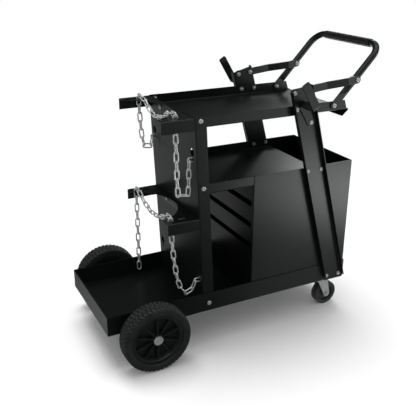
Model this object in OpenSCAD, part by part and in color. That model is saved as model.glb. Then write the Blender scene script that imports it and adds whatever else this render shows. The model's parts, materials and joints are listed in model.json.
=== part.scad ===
// Three-tier welding cart: folded sheet trays on a leaning rear panel and two leaning channels,
// a bottle platform over two large wheels, two swivel casters, a bent tube handle,
// two bottle brackets with safety chains and two cable hooks.
// X runs from the bottle platform to the handle, Y across the cart, Z up from the ground.

/* [Trays] */
// Length of the top tray
tray_l = 449; // [400:1:480]
// Width of the top tray and the middle shelf over their rims
tray_w = 278; // [240:1:320]
// Height of the rims of the top tray and the middle shelf
rim_h = 26; // [20:1:40]
// Height of the top tray's rim above the ground
tray_top = 623; // [580:1:680]
// Height of the middle shelf's rim above the ground
shelf_top = 453; // [400:1:480]
// Length of the base tray
base_l = 722; // [700:1:760]
// Height of the base tray's rim
base_rim_h = 54; // [46:1:70]
// Thickness of the sheet in the upper trays, the rear panel and the storage box
sheet_t = 1.5; // [1.2:0.1:2]
// Thickness of the sheet in the base tray
base_t = 2; // [1.5:0.1:3]
// Outside radius of the folds in the sheet
fold_r = 3; // [2.5:0.25:5]
// Length of the chamfer at the open end of the rims
rim_chamfer = 8; // [4:1:14]
// Length of the lip that is folded back under the open end of a tray
lip_l = 22; // [12:1:26]

/* [Rear panel] */
// Distance of the rear panel's foot from the left end of the base tray
panel_x = 267; // [255:1:275]
// Lean of the rear panel, in degrees
panel_lean = 2.8; // [0:0.1:4]
// Depth of the side flanges of the rear panel
flange_d = 31; // [26:1:36]
// Diameter of the round hole of a keyhole
keyhole_d = 20; // [18:0.5:24]
// Width of the slot of a keyhole
keyhole_slot_w = 6; // [5:0.5:8]
// Length of the slot below the round hole
keyhole_slot_l = 16; // [12:1:20]
// Distance of the chains and the keyholes from the middle of the cart
chain_y = 116; // [115:0.5:118]
// Height of the upper pair of keyholes above the ground
upper_keyhole_z = 533; // [520:1:540]
// Height of the lower pair of keyholes above the ground
lower_keyhole_z = 200; // [190:1:210]

/* [Storage box] */
// Distance of the slotted wall from the left end of the base tray
box_x = 411; // [395:1:430]
// Length of the open mouth beside the middle shelf
mouth_l = 82; // [70:1:100]
// Height of each slot in the slotted wall
slot_h = 15; // [10:1:20]
// Distance between the slots in the slotted wall
slot_pitch = 60; // [50:1:64]
// Number of slots in the slotted wall
slot_count = 3; // [2:1:3]
// Depth of the folded flanges of the box walls
box_flange = 8; // [7:0.5:9]

/* [Channels] */
// Width of the channel's web
channel_w = 62; // [58:1:66]
// Depth of the channel's flanges
channel_d = 15; // [12:1:18]
// Thickness of the channel's steel
channel_t = 2; // [1.6:0.1:2.5]
// Distance of the channel's foot bolts from the right end of the base tray
channel_foot_inset = 39; // [36:0.5:52]
// Distance of the channel's upper bolts from the right end of the top tray
channel_top_inset = 148.5; // [130:0.5:170]
// Height of the channel's flanges above the underside of the base tray
channel_notch = 12; // [8:1:20]
// Distance between the two bolts of a pair on the channel
bolt_pair = 42; // [36:1:44]
// Height of the top of the channels above the top tray's rim
channel_rise = 45; // [40:1:55]

/* [Handle] */
// Outside diameter of the handle tube
handle_d = 18; // [16:0.5:20]
// Wall of the handle tube
handle_wall = 1.5; // [1.2:0.1:2]
// Outside diameter of the grip sleeve
grip_d = 22; // [21:0.5:26]
// Distance of the handle's foot bolts from the right end of the top tray
handle_inset = 52; // [44:0.5:60]
// Distance of the foot bolts below the top tray's rim
handle_drop = 11; // [9:1:13]
// Length of the handle from its foot bolts to the cross bar
handle_l = 201; // [185:1:215]
// Slope of the handle, in degrees
handle_slope = 46.2; // [42:0.1:50]
// Bend radius of the handle tube
handle_bend = 38; // [34:1:44]
// Distance along the handle from its foot bolts to the strut bolts
strut_at = 88; // [80:1:96]
// Width of a strut
strut_w = 20; // [18:1:24]
// Thickness of a strut
strut_t = 3; // [2.5:0.1:3.5]

/* [Cable hooks] */
// Width of the hook strip
hook_w = 22; // [20:1:25]
// Thickness of the hook strip
hook_t = 3; // [2.5:0.1:3.5]
// Angle between a hook's strip and its channel, in degrees
hook_turn = 15.8; // [13:0.1:18]
// Distance that a hook reaches out from the channel
hook_reach = 66; // [56:1:70]
// Length of the lip of a hook
hook_lip = 78; // [60:1:84]
// Length of the leg of a hook, from its ledge to its bolt
hook_leg = 57; // [52:1:62]

/* [Bottle brackets] */
// Distance that a bracket reaches out from the rear panel
bracket_l = 85; // [80:1:92]
// Depth of the bracket's side flanges
bracket_flange = 30; // [24:1:34]
// Least width of the plate behind the cut-out
bracket_web = 7; // [6:0.5:10]
// Width of a bracket arm at its tip
arm_tip_w = 29; // [27:0.5:30]
// Height of the lower bracket above the ground
lower_bracket_z = 365; // [350:1:375]
// Distance from the arm's tip to its outer chain slot
outer_slot_x = 17; // [15:1:18]
// Distance from the arm's tip to its inner chain slot
inner_slot_x = 46.5; // [44:0.5:48]
// Length of a chain slot
chain_slot_l = 20; // [18:0.5:21]
// Width of a chain slot
chain_slot_w = 9; // [8:0.5:11]

/* [Chains] */
// Wire diameter of a chain link
wire_d = 3.6; // [3.2:0.1:4]
// Length of a chain link over its wire
link_l = 30; // [29.5:0.25:31]
// Width of a chain link over its wire
link_w = 14.4; // [14:0.1:15.5]
// Gap between the wires of two links
link_gap = 0.3; // [0.2:0.05:0.6]
// Least length of the upper chain's far loop, from the bracket to the panel
far_loop_l = 155; // [125:1:200]
// Least length of the upper chain's near loop, from the bracket to the panel
near_loop_l = 290; // [160:1:300]
// Least length of the lower chain's loop, from the bracket to the panel
lower_loop_l = 245; // [215:1:260]
// Length of the lower chain's loose tail
tail_l = 220; // [60:1:230]

/* [Wheels] */
// Diameter of the large wheels
wheel_d = 179; // [172:1:184]
// Width of the large wheels
wheel_w = 44; // [38:1:48]
// Diameter of the rim inside the tyre
rim_d = 138; // [126:1:142]
// Diameter of the recess in the wheel's face
recess_d = 112; // [100:1:116]
// Number of ribs in the wheel's face
rib_count = 10; // [6:1:14]
// Number of tread blocks in each row of the tyre
tread_count = 36; // [24:1:40]
// Depth of the grooves in the tread
tread_depth = 3; // [2:0.25:4]
// Diameter of the axle
axle_d = 12; // [10:0.5:14]
// Distance of the axle from the left end of the base tray
axle_x = 110; // [95:1:125]
// Length of the spacers between the base tray and the large wheels
spacer_l = 18; // [15:0.5:24]

/* [Casters] */
// Diameter of the caster wheels
caster_d = 72; // [66:1:76]
// Width of the caster wheels
caster_w = 24; // [20:1:28]
// Distance of the caster swivels from the right end of the base tray
caster_inset = 54; // [47:1:67]
// Distance of the caster swivels from the middle of the cart
caster_y = 108; // [100:1:110]
// Distance of the caster wheel's axle behind its swivel
caster_trail = 16; // [14:1:22]

/* [Fasteners] */
// Diameter of the bolts
bolt_d = 6; // [5:0.5:6.5]
// Diameter of the bolt heads
head_d = 12; // [11:0.5:13]
// Height of the bolt heads
head_h = 3.6; // [3:0.2:4.4]
// Width of the nuts across their flats
nut_af = 10; // [9:0.5:11]
// Height of the nuts
nut_h = 5; // [4:0.5:6]

/* [Hidden] */

black = "#1b1c1d";
dark = "#111213";
zinc = "#b9bcbd";
fine = 64;

// Gaps: round a fixed bolt, inside a nut, round a turning shaft, between turning faces,
// between a piece and the piece that it stands in, and the overrun of a cut
bolt_gap = 0.25;
thread_gap = 0.1;
run_gap = 0.05;
face_gap = 0.3;
seat_gap = 0.1;
cut = 1;

// Places across the cart, measured from its middle
half_w = tray_w / 2;
rim_y = half_w - sheet_t;
skin_y = half_w + sheet_t;
base_y = skin_y + base_t;
web_y = base_y + channel_t;

// Places up the cart
axle_z = wheel_d / 2;
axle_seat = 0.5;
base_z = axle_z + axle_d / 2 + axle_seat;
base_floor = base_z + base_t;
base_top = base_z + base_rim_h;
stand_z = base_floor + fold_r - base_t;
tray_z = tray_top - rim_h;
shelf_z = shelf_top - rim_h;

// Heights of the bolts, as shares of the rim that they go through
foot_bolt_share = 0.26;
post_foot_share = 0.45;
rim_bolt_share = 0.65;
foot_bolt_z = base_z + base_rim_h * foot_bolt_share;
post_foot_z = base_z + base_rim_h * post_foot_share;
tray_bolt_z = tray_z + rim_h * rim_bolt_share;
shelf_bolt_z = shelf_z + rim_h * rim_bolt_share;

// Places along the cart, measured from the left end of the base tray
function panel_at(z) = panel_x - (z - base_z) * tan(panel_lean);
tray_x = panel_at(tray_z) + fold_r + face_gap;
tray_end = tray_x + tray_l;
channel_x = base_l - channel_foot_inset;
channel_lean = atan2(channel_x - tray_end + channel_top_inset, tray_bolt_z - foot_bolt_z);
function channel_at(z) = channel_x - (z - foot_bolt_z) * tan(channel_lean);
handle_x = tray_end - handle_inset;
caster_x = base_l - caster_inset;
shelf_x = panel_at(shelf_z) + fold_r + face_gap;
box_end = base_l - base_t - seat_gap;
shelf_end = box_end - sheet_t - mouth_l;
bar_x = handle_x + handle_l * cos(handle_slope);
foot_z = tray_top - handle_drop;
bar_z = foot_z + handle_l * sin(handle_slope);
shift_x = -(bar_x + grip_d / 2) / 2;

// Everything is drawn from the left end of the base tray and moved to the middle of the cart
module placed() translate([shift_x, 0, 0]) children();

// The far side of the cart is drawn, and the near side is its mirror image
module near_side() mirror([0, 1, 0]) children();

module both_sides() {
  children();
  near_side() children();
}

// A flat shape of X and Z, raised into a plate from y towards the middle of the cart
module side_plate(y, t) translate([0, y, 0]) rotate([90, 0, 0]) linear_extrude(t) children();

// A flat shape of Y and Z, raised into a plate from x towards the handle
module end_plate(x, t) translate([x, 0, 0]) rotate([90, 0, 90]) linear_extrude(t) children();

// A shape with a flat base and rounded lower corners, centred on its first axis
module round_base(w, h, r) {
  translate([-w / 2, r]) square([w, h - r]);
  translate([r - w / 2, 0]) square([w - 2 * r, 2 * r]);
  for (side = [-1, 1]) translate([side * (w / 2 - r), r]) circle(r = r, $fn = fine);
}

// The same shape as folded sheet: a base with two upright walls
module folded_u(w, h, t) {
  difference() {
    round_base(w, h, fold_r);
    translate([0, t]) round_base(w - 2 * t, h, fold_r - t);
  }
}

// A slot with round ends along X
module slot(l, w) {
  square([l - w, w], center = true);
  for (end = [-1, 1]) translate([end * (l - w) / 2, 0]) circle(d = w, $fn = fine);
}

// Fasteners, along Z with the underside of the head at the origin
bolt_tip = 2;
head_share = 0.45;
crown_share = 0.62;
module bolt(grip) {
  rotate_extrude($fn = fine)
    polygon([[0, -grip - nut_h - bolt_tip], [bolt_d / 2, -grip - nut_h - bolt_tip], [bolt_d / 2, 0],
             [head_d / 2, 0], [head_d / 2, head_h * head_share],
             [head_d / 2 * crown_share, head_h], [0, head_h]]);
}

module nut() {
  difference() {
    cylinder(d = nut_af / cos(30), h = nut_h, $fn = 6);
    translate([0, 0, -cut]) cylinder(d = bolt_d + 2 * thread_gap, h = nut_h + 2 * cut, $fn = fine);
  }
}

// Places of the side bolts on the far side: x, z, outermost face, grip
function post_row(z, y) = [panel_at(z) + flange_d * 0.5, z, y, y - (y > skin_y ? half_w : rim_y)];
post_places = [post_row(tray_bolt_z, skin_y), post_row(shelf_bolt_z, skin_y), post_row(post_foot_z, base_y)];
function channel_pair(z, y) =
  [for (end = [-1, 1]) [channel_at(z) + end * bolt_pair / 2, z, web_y, web_y - y]];
channel_places = concat(channel_pair(foot_bolt_z, half_w), channel_pair(shelf_bolt_z, rim_y),
                        channel_pair(tray_bolt_z, rim_y));

module out_bolts(places) {
  for (p = places) translate([p[0], p[2], p[1]]) rotate([-90, 0, 0]) bolt(p[3]);
}

module out_nuts(places) {
  for (p = places) translate([p[0], p[2] - p[3] - nut_h, p[1]]) rotate([-90, 0, 0]) nut();
}

module out_holes(places) {
  for (p = places) translate([p[0], 0, p[1]]) rotate([-90, 0, 0])
    cylinder(d = bolt_d + 2 * bolt_gap, h = web_y + channel_d, $fn = fine);
}

// Casters stand under the right end of the base tray
caster_plate_l = 62;
caster_plate_w = 54;
caster_plate_t = 2.5;
caster_hole_l = 46;
caster_hole_w = 38;
caster_hole_places = [for (x = [-1, 1], y = [-1, 1]) [x * caster_hole_l / 2, y * caster_hole_w / 2]];

module caster_holes(h) {
  for (p = caster_hole_places) translate([caster_x + p[0], caster_y + p[1], base_z - h])
    cylinder(d = bolt_d + 2 * bolt_gap, h = 2 * h, $fn = fine);
}

// Trays
// A block with its four lower edges rounded
module tray_block(x0, x1, y, z, r) {
  intersection() {
    translate([0, 0, z]) end_plate(x0, x1 - x0) round_base(2 * y, base_rim_h, r);
    side_plate(y, 2 * y) translate([(x0 + x1) / 2, z]) round_base(x1 - x0, base_rim_h, r);
  }
}

module base_tray() {
  color(black) placed() difference() {
    tray_block(0, base_l, base_y, base_z, fold_r);
    tray_block(base_t, base_l - base_t, skin_y, base_floor, fold_r - base_t);
    both_sides() out_holes([post_places[2], channel_places[0], channel_places[1]]);
    both_sides() caster_holes(caster_plate_t + base_t + cut);
  }
}

// The outline of a lip at the origin: the end of a floor rolled over and back underneath
lip_fold = 40;
module lip_outline() {
  translate([0, sheet_t - fold_r]) {
    difference() {
      circle(r = fold_r, $fn = fine);
      circle(r = fold_r - sheet_t, $fn = fine);
      translate([-2 * fold_r, 0]) square([2 * fold_r, 2 * fold_r]);
      rotate(lip_fold) translate([-2 * fold_r, -2 * fold_r]) square([2 * fold_r, 4 * fold_r]);
    }
    rotate(lip_fold) translate([-lip_l, -fold_r]) square([lip_l, sheet_t]);
  }
}

// A sheet tray that is open at both ends, with chamfered rims and a lip under its right end
module open_tray(x0, x1, z) {
  fold_x = x1 - fold_r;
  difference() {
    translate([0, 0, z]) end_plate(x0, fold_x - x0) folded_u(tray_w, rim_h, sheet_t);
    side_plate(half_w + cut, tray_w + 2 * cut)
      polygon([[x1 - rim_chamfer, z + fold_r], [x1, z + fold_r], [x1, z + rim_h + cut],
               [x1 - 2 * rim_chamfer, z + rim_h + cut], [x1 - 2 * rim_chamfer, z + rim_h]]);
  }
  side_plate(half_w - fold_r, tray_w - 2 * fold_r) translate([fold_x, z]) lip_outline();
}

module top_tray() {
  color(black) placed() difference() {
    open_tray(tray_x, tray_end, tray_z);
    both_sides() out_holes([post_places[0], channel_places[4], channel_places[5]]);
    handle_foot_holes();
  }
}

module middle_shelf() {
  color(black) placed() difference() {
    open_tray(shelf_x, shelf_end, shelf_z);
    both_sides() out_holes([post_places[1], channel_places[2], channel_places[3]]);
  }
}

// Rear panel: a leaning sheet whose side flanges are the left posts of the cart
module keyhole(z) {
  translate([panel_at(z) - flange_d, chain_y, z]) rotate([90, 0, 90])
    linear_extrude(2 * flange_d) {
      circle(d = keyhole_d, $fn = fine);
      translate([-keyhole_slot_w / 2, -keyhole_d / 2 - keyhole_slot_l + keyhole_slot_w / 2])
        square([keyhole_slot_w, keyhole_slot_l + keyhole_d / 2]);
      translate([0, -keyhole_d / 2 - keyhole_slot_l + keyhole_slot_w / 2])
        circle(d = keyhole_slot_w, $fn = fine);
    }
}

module rear_panel() {
  panel_h = (tray_top - base_z) / cos(panel_lean);
  color(black) placed() difference() {
    translate([panel_x, 0, base_z]) rotate([0, -panel_lean, 0])
      translate([0, 0, (stand_z - base_z) / cos(panel_lean)]) linear_extrude(panel_h) rotate(-90)
        folded_u(2 * skin_y, flange_d, sheet_t);
    translate([0, -base_y, tray_top]) cube([base_l, 2 * base_y, base_rim_h]);
    both_sides() {
      keyhole(upper_keyhole_z);
      keyhole(lower_keyhole_z);
      out_holes(post_places);
      bracket_holes();
    }
  }
}

// Storage box between the base tray and the middle shelf
module box_side() {
  color(black) placed() difference() {
    side_plate(skin_y, sheet_t)
      translate([box_x, stand_z]) square([box_end - box_x, shelf_top - stand_z]);
    out_holes(channel_places);
  }
}

module box_side_near() near_side() box_side();

module box_side_far() box_side();

// A wall across the box from x, with its flanges folded towards the handle
module box_wall(x, h) {
  translate([x, 0, stand_z]) linear_extrude(h) rotate(-90) folded_u(tray_w, box_flange, sheet_t);
}

module box_end_wall() {
  color(black) placed() difference() {
    translate([box_end, 0, 0]) mirror([1, 0, 0]) box_wall(0, shelf_top - stand_z);
    both_sides() out_holes(channel_places);
  }
}

slot_margin = 11;
slot_top_share = 0.927;
module box_slotted_wall() {
  color(black) placed() difference() {
    box_wall(box_x, shelf_z - stand_z);
    for (i = [0 : slot_count - 1])
      translate([box_x - cut, -half_w + slot_margin, base_floor + (shelf_z - base_floor) * slot_top_share
                 - (i + 0.5) * slot_pitch - slot_h / 2])
        cube([box_flange, tray_w - 2 * slot_margin, slot_h]);
  }
}

// Leaning channels outside the trays
module channel() {
  channel_l = (tray_top + channel_rise - foot_bolt_z) / cos(channel_lean);
  color(black) placed() difference() {
    translate([channel_x, 0, foot_bolt_z]) rotate([0, -channel_lean, 0])
      translate([0, base_y, -2 * base_rim_h]) linear_extrude(channel_l + 2 * base_rim_h)
        folded_u(channel_w, channel_d, channel_t);
    translate([0, 0, base_z - 3 * base_rim_h]) cube([2 * base_l, web_y + 2 * channel_d, 3 * base_rim_h]);
    translate([0, web_y, base_z - cut]) cube([2 * base_l, 2 * channel_d, channel_notch + cut]);
    out_holes(concat(channel_places, strut_places, hook_places));
  }
}

module channel_near() near_side() channel();

module channel_far() channel();

// Handle: a bent tube with flattened feet, drawn along X and turned up to its slope
foot_seam = 0.4;
handle_foot_t = 2 * handle_wall + foot_seam;
handle_foot_w = 20;
foot_flat_l = (handle_drop + handle_foot_w / 2 * cos(handle_slope)) / sin(handle_slope) + face_gap + cut;
foot_round_l = foot_flat_l + handle_foot_w;
near_leg_y = -half_w - handle_foot_t / 2;
far_leg_y = rim_y - handle_foot_t / 2;

module handle_frame() translate([handle_x, 0, foot_z]) rotate([0, -handle_slope, 0]) children();

module tube_path(d) {
  for (y = [near_leg_y, far_leg_y]) translate([foot_round_l, y, 0]) rotate([0, 90, 0])
    cylinder(d = d, h = handle_l - handle_bend - foot_round_l, $fn = fine);
  translate([handle_l, near_leg_y + handle_bend, 0]) rotate([-90, 0, 0])
    cylinder(d = d, h = far_leg_y - near_leg_y - 2 * handle_bend, $fn = fine);
  translate([handle_l - handle_bend, near_leg_y + handle_bend, 0]) rotate([0, 0, -90])
    rotate_extrude(angle = 90, $fn = fine) translate([handle_bend, 0]) circle(d = d, $fn = fine);
  translate([handle_l - handle_bend, far_leg_y - handle_bend, 0])
    rotate_extrude(angle = 90, $fn = fine) translate([handle_bend, 0]) circle(d = d, $fn = fine);
}

module handle_foot(y) {
  translate([0, y + handle_foot_t / 2, 0]) rotate([90, 0, 0]) linear_extrude(handle_foot_t) {
    circle(d = handle_foot_w, $fn = fine);
    translate([0, -handle_foot_w / 2]) square([foot_flat_l, handle_foot_w]);
  }
  hull() {
    translate([foot_flat_l - cut, y - handle_foot_t / 2, -handle_foot_w / 2])
      cube([cut, handle_foot_t, handle_foot_w]);
    translate([foot_round_l, y, 0]) rotate([0, 90, 0]) cylinder(d = handle_d, h = cut, $fn = 32);
  }
}

module handle_foot_holes() {
  handle_frame() translate([0, -web_y - channel_d, 0]) rotate([-90, 0, 0])
    cylinder(d = bolt_d + 2 * bolt_gap, h = 2 * (web_y + channel_d), $fn = fine);
}

module handle_tube() {
  color(black) placed() difference() {
    handle_frame() {
      difference() {
        tube_path(handle_d);
        tube_path(handle_d - 2 * handle_wall);
      }
      handle_foot(near_leg_y);
      handle_foot(far_leg_y);
    }
    handle_foot_holes();
    handle_frame() translate([strut_at, -web_y - channel_d, 0]) rotate([-90, 0, 0])
      cylinder(d = bolt_d + 2 * bolt_gap, h = 2 * (web_y + channel_d), $fn = fine);
  }
}

grip_end = 3;
module handle_grip() {
  grip_l = far_leg_y - near_leg_y - 2 * handle_bend - 2 * grip_end;
  color(dark) placed() handle_frame()
    translate([handle_l, near_leg_y + handle_bend + grip_end, 0]) rotate([-90, 0, 0]) difference() {
      cylinder(d = grip_d, h = grip_l, $fn = fine);
      translate([0, 0, -cut]) cylinder(d = handle_d + 2 * seat_gap, h = grip_l + 2 * cut, $fn = fine);
    }
}

// Struts from the inner faces of the channels to the handle's legs
strut_rise_share = 0.73;
strut_pair_share = 0.9;
strut_x1 = handle_x + strut_at * cos(handle_slope);
strut_z1 = foot_z + strut_at * sin(handle_slope);
strut_z0 = tray_top + channel_rise * strut_rise_share;
strut_x0 = channel_at(strut_z0) - bolt_pair * strut_pair_share / 2;
strut_slope = atan2(strut_z1 - strut_z0, strut_x1 - strut_x0);
strut_places = [for (s = [0, bolt_pair * strut_pair_share])
  [strut_x0 + s, strut_z0 + s * tan(strut_slope), web_y, channel_t + strut_t]];
strut_reach = norm([strut_x1 - strut_x0, strut_z1 - strut_z0]);
joggle_start_share = 0.53;
joggle_end_share = 0.85;

// The bar follows the channel's inner face, slants over and ends on the leg's near face
module strut(face_y, leg_y) {
  end_y = leg_y - handle_d / 2;
  joggle_start = strut_reach * joggle_start_share;
  joggle_end = strut_reach * joggle_end_share;
  outline = [[-strut_w / 2, face_y], [joggle_start, face_y], [joggle_end, end_y],
             [strut_reach + strut_w, end_y], [strut_reach + strut_w, end_y - strut_t],
             [joggle_end, end_y - strut_t], [joggle_start, face_y - strut_t],
             [-strut_w / 2, face_y - strut_t]];
  color(black) placed() difference() {
    translate([strut_x0, 0, strut_z0]) rotate([0, -strut_slope, 0]) intersection() {
      translate([0, 0, -strut_w / 2]) linear_extrude(strut_w) polygon(outline);
      translate([0, web_y, 0]) rotate([90, 0, 0]) linear_extrude(2 * web_y + channel_d) {
        translate([0, -strut_w / 2]) square([strut_reach, strut_w]);
        circle(d = strut_w, $fn = fine);
        translate([strut_reach, 0]) circle(d = strut_w, $fn = fine);
      }
    }
    both_sides() out_holes(strut_places);
    handle_frame() translate([strut_at, -web_y - channel_d, 0]) rotate([-90, 0, 0])
      cylinder(d = bolt_d + 2 * bolt_gap, h = 2 * (web_y + channel_d), $fn = fine);
  }
}

module handle_strut_near() strut(strut_t - base_y, near_leg_y);

module handle_strut_far() strut(base_y, far_leg_y);

// Cable hooks: a leg on the channel beside its upper bolt, a ledge outwards and a lip up
hook_rise = 3;
hook_bolt_gap = 0.4;
hook_lean = channel_lean + hook_turn;
hook_z = tray_top + hook_rise;
hook_to_bolt = (head_d + hook_w) / 2 + hook_bolt_gap;
hook_x = channel_places[5][0]
         - (hook_to_bolt + (hook_z - tray_bolt_z) * sin(hook_lean)) / cos(hook_lean);
hook_places = [[hook_x + hook_leg * sin(hook_lean), hook_z - hook_leg * cos(hook_lean), web_y + hook_t,
                hook_t + channel_t]];
// The edge outline of a hook's strip, from the foot of its leg round two bends to the top of its lip
hook_bend_in = 3;
hook_bend = hook_bend_in + hook_t;
module hook_corner() {
  intersection() {
    difference() {
      circle(r = hook_bend, $fn = fine);
      circle(r = hook_bend_in, $fn = fine);
    }
    square(hook_bend);
  }
}

module hook_edge() {
  translate([0, -hook_leg - hook_w]) square([hook_t, hook_leg + hook_w - hook_bend_in]);
  translate([hook_bend, -hook_bend_in]) rotate(90) hook_corner();
  translate([hook_bend, 0]) square([hook_reach - 2 * hook_bend, hook_t]);
  translate([hook_reach - hook_bend, hook_bend]) rotate(-90) hook_corner();
  translate([hook_reach - hook_t, hook_bend]) square([hook_t, hook_lip - hook_bend]);
}

// The face outline of the strip: a round foot about its bolt and a lip with small round corners
hook_corner_r = 5;
module hook_face() {
  translate([0, -hook_leg]) circle(d = hook_w, $fn = fine);
  translate([-hook_w / 2, -hook_leg]) square([hook_w, hook_leg + hook_lip - hook_corner_r]);
  translate([hook_corner_r - hook_w / 2, 0]) square([hook_w - 2 * hook_corner_r, hook_lip]);
  for (side = [-1, 1]) translate([side * (hook_w / 2 - hook_corner_r), hook_lip - hook_corner_r])
    circle(r = hook_corner_r, $fn = fine);
}

module cable_hook() {
  color(black) placed() difference() {
    translate([hook_x, 0, hook_z]) rotate([0, -hook_lean, 0]) intersection() {
      end_plate(-hook_w, 2 * hook_w) translate([web_y, 0]) hook_edge();
      side_plate(web_y + hook_reach + cut, hook_reach + 2 * cut) hook_face();
    }
    out_holes(hook_places);
  }
}

module cable_hook_near() near_side() cable_hook();

module cable_hook_far() cable_hook();

// Bottle brackets
bracket_drop = 1;
upper_bracket_z = tray_top - bracket_drop;
rear_flange_h = 24;
bracket_bolt_y = 60;
bracket_bolt_drop = 15;
arm_in_y = skin_y - arm_tip_w;
cut_depth = bracket_l - bracket_web;
cut_r = (pow(arm_in_y, 2) + pow(cut_depth, 2)) / (2 * cut_depth);

module tank_bracket(z) {
  back = panel_at(z);
  tip = back - bracket_l;
  rear_x = panel_at(z - rear_flange_h);
  seam_z = z - sheet_t / 2;
  seam_x = panel_at(seam_z);
  color(black) placed() difference() {
    union() {
      intersection() {
        translate([0, 0, z]) mirror([0, 0, 1]) end_plate(tip, bracket_l + flange_d)
          folded_u(2 * skin_y, bracket_flange, sheet_t);
        side_plate(base_y, 2 * base_y)
          polygon([[tip - cut, z - bracket_flange], [panel_at(z - bracket_flange), z - bracket_flange],
                   [back, z], [tip - cut, z]]);
      }
      side_plate(skin_y - fold_r, 2 * skin_y - 2 * fold_r)
        polygon([[seam_x - sheet_t, seam_z], [rear_x - sheet_t, z - rear_flange_h],
                 [rear_x, z - rear_flange_h], [seam_x, seam_z]]);
    }
    translate([0, 0, z - 2 * sheet_t]) linear_extrude(4 * sheet_t) {
      translate([back - bracket_web - cut_r, 0]) circle(r = cut_r, $fn = 2 * fine);
      for (x = [outer_slot_x, inner_slot_x], y = [-1, 1])
        translate([tip + x, y * chain_y]) slot(chain_slot_l, chain_slot_w);
    }
    both_sides() bracket_hole(z);
  }
}

module bracket_hole(z) {
  translate([panel_at(z) - flange_d / 2, bracket_bolt_y, z - bracket_bolt_drop]) rotate([0, 90, 0])
    cylinder(d = bolt_d + 2 * bolt_gap, h = flange_d, $fn = fine);
}

module bracket_holes() {
  bracket_hole(upper_bracket_z);
  bracket_hole(lower_bracket_z);
}

module tank_bracket_upper() tank_bracket(upper_bracket_z);

module tank_bracket_lower() tank_bracket(lower_bracket_z);

// Safety chains
// A link is drawn along Z, flat in X, about its centre
mid_l = link_l - wire_d;
mid_r = (link_w - wire_d) / 2;
inset = wire_d + link_gap;
module link() {
  straight = mid_l - 2 * mid_r;
  for (end = [0, 180]) rotate([0, end, 0]) {
    translate([0, 0, straight / 2]) rotate([90, 0, 0])
      rotate_extrude(angle = 180, $fn = 48) translate([mid_r, 0]) circle(d = wire_d, $fn = 24);
    translate([mid_r, 0, -straight / 2]) cylinder(d = wire_d, h = straight, $fn = 24);
  }
}

// Every second link is flat in the plane of the chain's hang and turns about its neighbours' wires,
// so its own joints lie inside its ends, and the links between carry the joints on their wires
function link_step(i) = i % 2 == 0 ? mid_l : mid_l - 2 * inset;
function total(v, n, i = 0) = i >= n ? 0 : v[i] + total(v, n, i + 1);

// A hanging chain of n rigid links: pull is its level force, lift the upward force on its first end
function rises(n, pull, lift) = [for (i = [0 : n - 1]) atan2(i + 0.5 - lift, pull)];
function reach(n, first, a) = [
  total([for (i = [0 : n - 1]) link_step(i + first) * cos(a[i])], n),
  total([for (i = [0 : n - 1]) link_step(i + first) * sin(a[i])], n)];
function find_lift(n, first, pull, dz, lo, hi, k = 0) = let(m = (lo + hi) / 2) k > 30 ? m :
  reach(n, first, rises(n, pull, m))[1] > dz ? find_lift(n, first, pull, dz, m, hi, k + 1)
                                             : find_lift(n, first, pull, dz, lo, m, k + 1);
function find_pull(n, first, d, lo, hi, k = 0) = let(m = (lo + hi) / 2) k > 30 ? m :
  reach(n, first, rises(n, m, find_lift(n, first, m, d[1], -5 * n, 6 * n)))[0] < d[0]
    ? find_pull(n, first, d, m, hi, k + 1) : find_pull(n, first, d, lo, m, k + 1);
// Slopes of the links of a chain of n links that spans d, level and up
function hang(n, first, d) = let(pull = find_pull(n, first, d, 0.001, 8 * n))
  rises(n, pull, find_lift(n, first, pull, d[1], -5 * n, 6 * n));
// The odd number of links that covers a length
function odd_count(l) = 2 * ceil((l / (mid_l - inset) - 1) / 2) + 1;

// Links drawn in the XZ plane from the origin
module links(first, a) {
  n = len(a);
  for (i = [0 : n - 1]) {
    before = [total([for (k = [0 : n - 1]) link_step(k + first) * cos(a[k])], i),
              total([for (k = [0 : n - 1]) link_step(k + first) * sin(a[k])], i)];
    middle = before + link_step(i + first) / 2 * [cos(a[i]), sin(a[i])];
    translate([middle[0], 0, middle[1]]) rotate([0, 90 - a[i], 0])
      rotate([0, 0, (i + first) % 2 == 0 ? 90 : 0]) link();
  }
}

// The upright link in a bracket's slot: its upper joint is on its own wire, its lower joint inside its end
slot_link_up = link_w / 2 + link_gap;
slot_link_down = mid_l - inset - slot_link_up;
module slot_link(x, z) translate([x, chain_y, z + slot_link_up - mid_l / 2]) link();

// The link through a keyhole rests on the slot's bottom, and the end link hangs behind the panel
function keyhole_link_z(z) = z - keyhole_d / 2 - keyhole_slot_l + link_gap + link_w / 2;
keyhole_step = mid_l / 2 - inset;
function keyhole_link_x(z) = panel_at(z) + sheet_t / 2;
module keyhole_links(z) {
  translate([keyhole_link_x(z), chain_y, z]) {
    rotate([0, 90, 0]) link();
    translate([keyhole_step, 0, -mid_l / 2]) rotate([0, 0, 90]) link();
  }
}

// The part of a chain between a bracket's slot and a keyhole
module loop(slot_x, plate_z, keyhole_z, l) {
  top_z = plate_z - slot_link_down;
  end_x = keyhole_link_x(keyhole_z) - keyhole_step;
  slot_link(slot_x, plate_z);
  translate([slot_x, chain_y, top_z]) links(0, hang(odd_count(l), 0, [end_x - slot_x, keyhole_z - top_z]));
  keyhole_links(keyhole_z);
}

// The part of a chain across a bracket: rests are the slopes of the links that lie on an arm
cross_slack = 1.035;
module crossing(slot_x, plate_z, rests) {
  k = len(rests);
  gap = 2 * chain_y - 2 * reach(k, 1, rests)[0];
  middle = hang(odd_count(2 * chain_y * cross_slack) - 2 * k, 1 + k, [gap, 0]);
  slopes = concat(rests, middle, [for (i = [1 : k]) -rests[k - i]]);
  translate([slot_x, -chain_y, plate_z + slot_link_up]) rotate([0, 0, 90]) links(1, slopes);
}

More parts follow.
